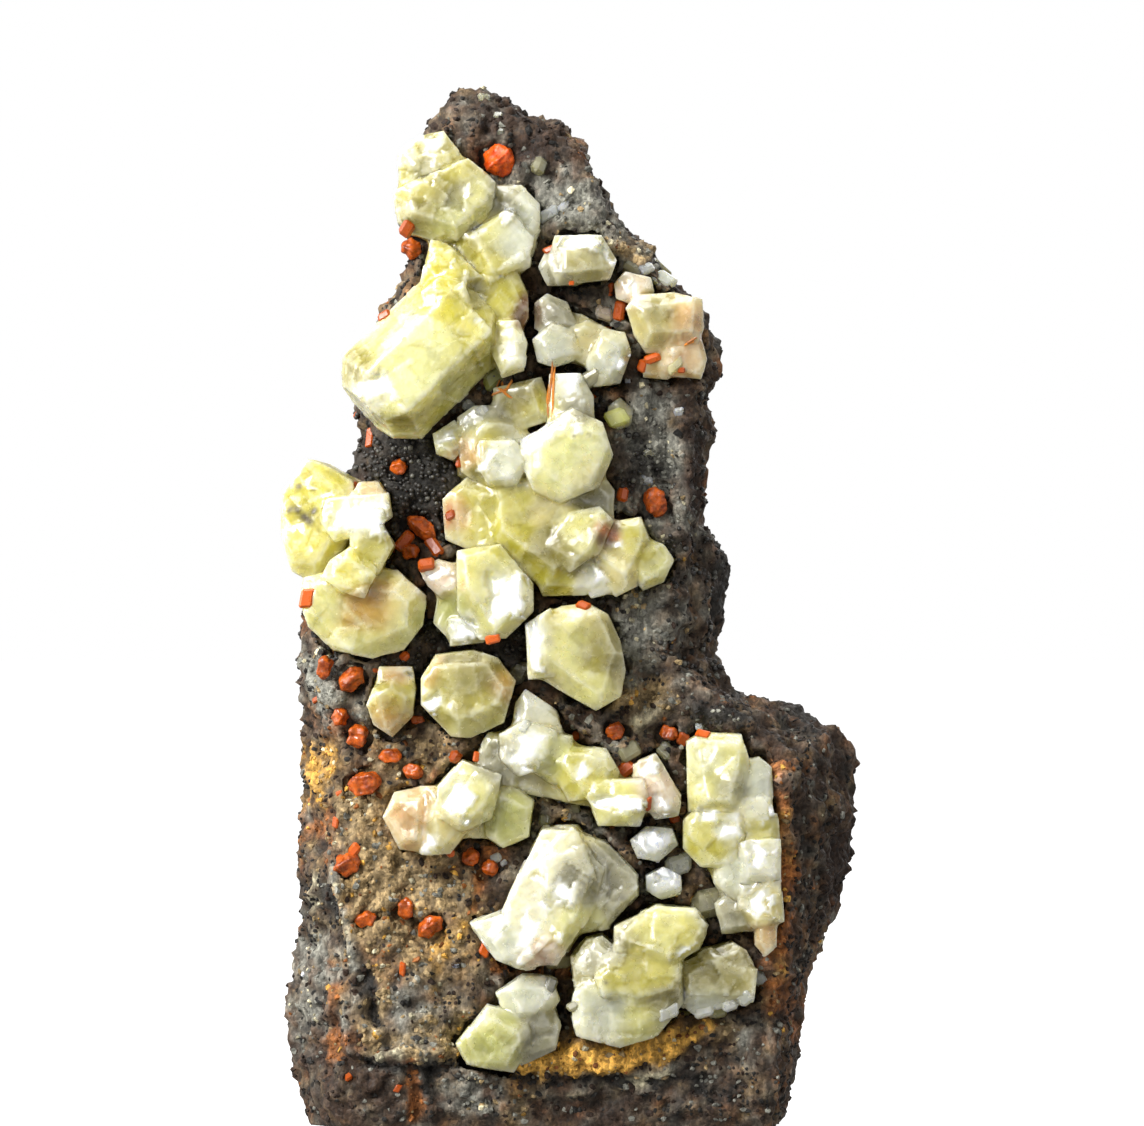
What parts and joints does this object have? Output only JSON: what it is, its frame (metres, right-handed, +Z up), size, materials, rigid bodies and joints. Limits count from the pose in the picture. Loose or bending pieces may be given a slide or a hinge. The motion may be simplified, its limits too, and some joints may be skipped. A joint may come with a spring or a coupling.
{
  "type": "chrome cerussite specimen",
  "caption": "Upright hand specimen: pale yellow to white cerussite crystals and small orange-red crocoite crystals grown on the front of dark gossan rock, which stands on its flat base.",
  "frame": {"origin": "middle of the specimen's box, on the plane that its flat base stands on", "axes": "+Z up along the specimen's height, -Y the side that carries the crystals, +X to the viewer's right"},
  "size_m": [0.0384, 0.0266, 0.0692],
  "materials": {
    "gossan": "rough, earthy, dark brown to black with ochre and rust stains",
    "cerussite": "milky, see-through at the edges, adamantine gloss, pale yellow-green to white",
    "crocoite": "glossy orange-red"
  },
  "bodies": {
    "root": {"gossan_matrix": "gossan", "cerussite_big_barrel": "cerussite", "cerussite_bridge": "cerussite", "cerussite_right_shoulder": "cerussite", "cerussite_middle_chain": "cerussite", "cerussite_upper_bud": "cerussite", "cerussite_centre_mass": "cerussite", "cerussite_large_block": "cerussite", "cerussite_left_cluster": "cerussite", "cerussite_capped_crystal": "cerussite", "cerussite_left_tablet": "cerussite", "cerussite_lower_chain": "cerussite", "cerussite_right_column": "cerussite", "cerussite_upper_white": "cerussite", "cerussite_lower_white": "cerussite", "cerussite_white_slab": "cerussite", "cerussite_lower_cluster": "cerussite", "cerussite_foot_cluster": "cerussite", "crocoite_01": "crocoite", "crocoite_02": "crocoite", "crocoite_03": "crocoite", "crocoite_04": "crocoite", "crocoite_05": "crocoite", "crocoite_06": "crocoite", "crocoite_07": "crocoite", "crocoite_08": "crocoite", "crocoite_09": "crocoite", "crocoite_10": "crocoite", "crocoite_11": "crocoite", "crocoite_12": "crocoite", "crocoite_13": "crocoite", "crocoite_14": "crocoite", "crocoite_15": "crocoite", "crocoite_16": "crocoite", "crocoite_17": "crocoite", "crocoite_18": "crocoite", "crocoite_19": "crocoite", "crocoite_20": "crocoite", "crocoite_21": "crocoite"}
  },
  "joints": []
}
